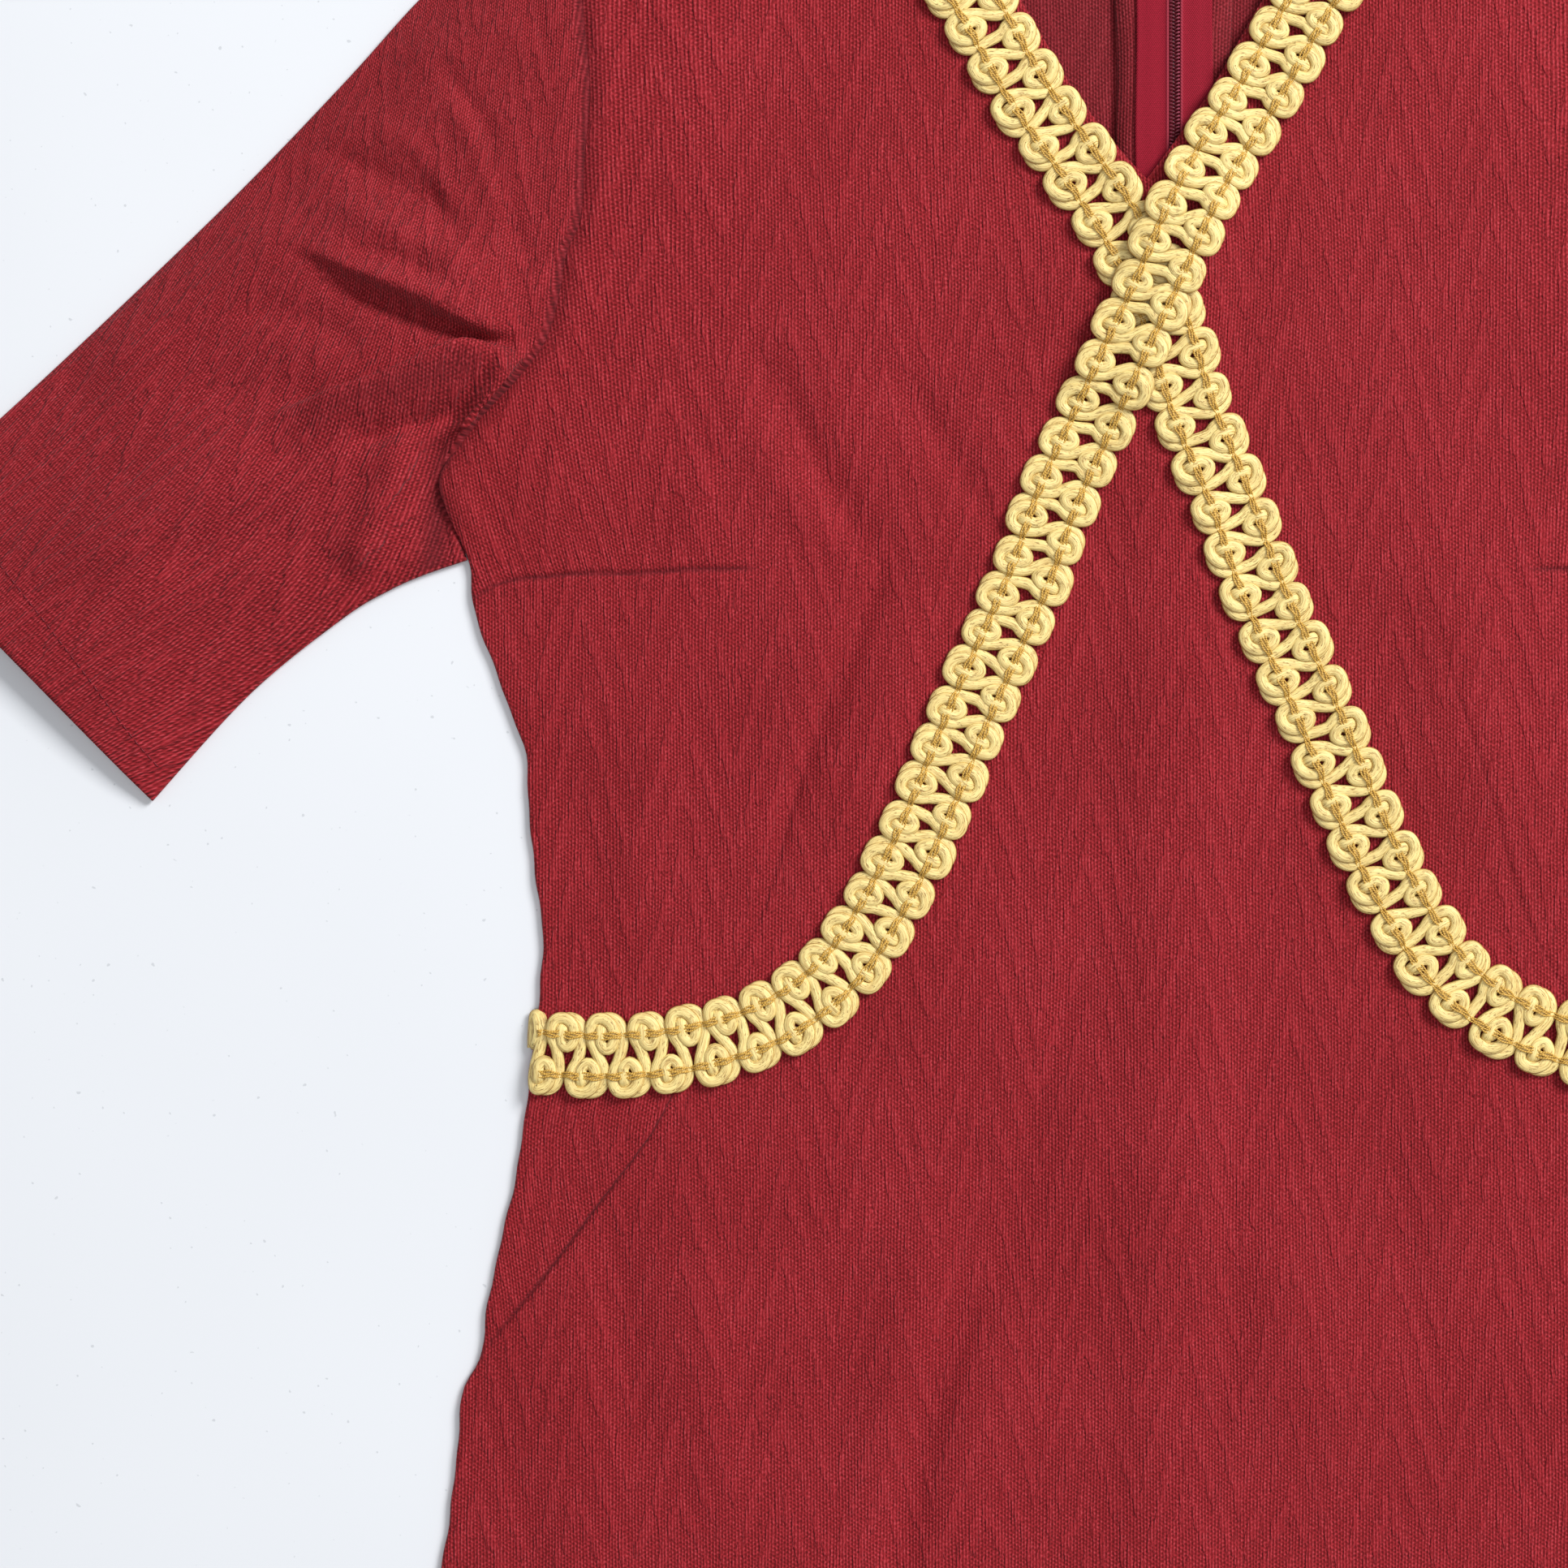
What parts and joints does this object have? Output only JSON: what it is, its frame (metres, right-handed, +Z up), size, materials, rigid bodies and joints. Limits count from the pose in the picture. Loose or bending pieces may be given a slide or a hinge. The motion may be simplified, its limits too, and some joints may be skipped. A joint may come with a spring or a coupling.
{
  "type": "long dress laid flat on its back",
  "caption": "Long A-line crinkle-knit dress with V neck, elbow sleeves, back zip and crossing scroll braids, laid flat on its back.",
  "frame": {"origin": "middle of the underside of the garment as it lies, on the surface that it rests on", "axes": "+Z up from the surface, +Y from hem to neck, +X to the wearer's left"},
  "size_m": [0.796, 1.38, 0.0138],
  "materials": {
    "crepe": "crinkled crepe knit, matt with a faint sheen on the ribs",
    "crepe_inside": "reverse side of the crepe knit, matt",
    "gold_braid": "satin rayon cord, soft sheen along the filaments",
    "zip_tape": "twill tape, matt",
    "zip_coil": "satin nylon coil",
    "zip_metal": "enamelled slider and pull tab"
  },
  "bodies": {
    "dress": {"front": "crepe", "back_left": "crepe_inside", "back_right": "crepe_inside", "sleeve_left": "crepe", "sleeve_right": "crepe", "braid_over": "gold_braid", "braid_under": "gold_braid", "zip_tape_left": "zip_tape", "zip_tape_right": "zip_tape", "zip_coil": "zip_coil", "zip_slider": "zip_metal"},
    "pull": {"zip_pull": "zip_metal"}
  },
  "joints": [
    {"name": "pull_hinge", "type": "hinge", "parent": "dress", "child": "pull", "pos_m": [0.0103, 0.671, 0.0022], "axis": [1, 0, 0], "range_deg": [0, 105]}
  ]
}
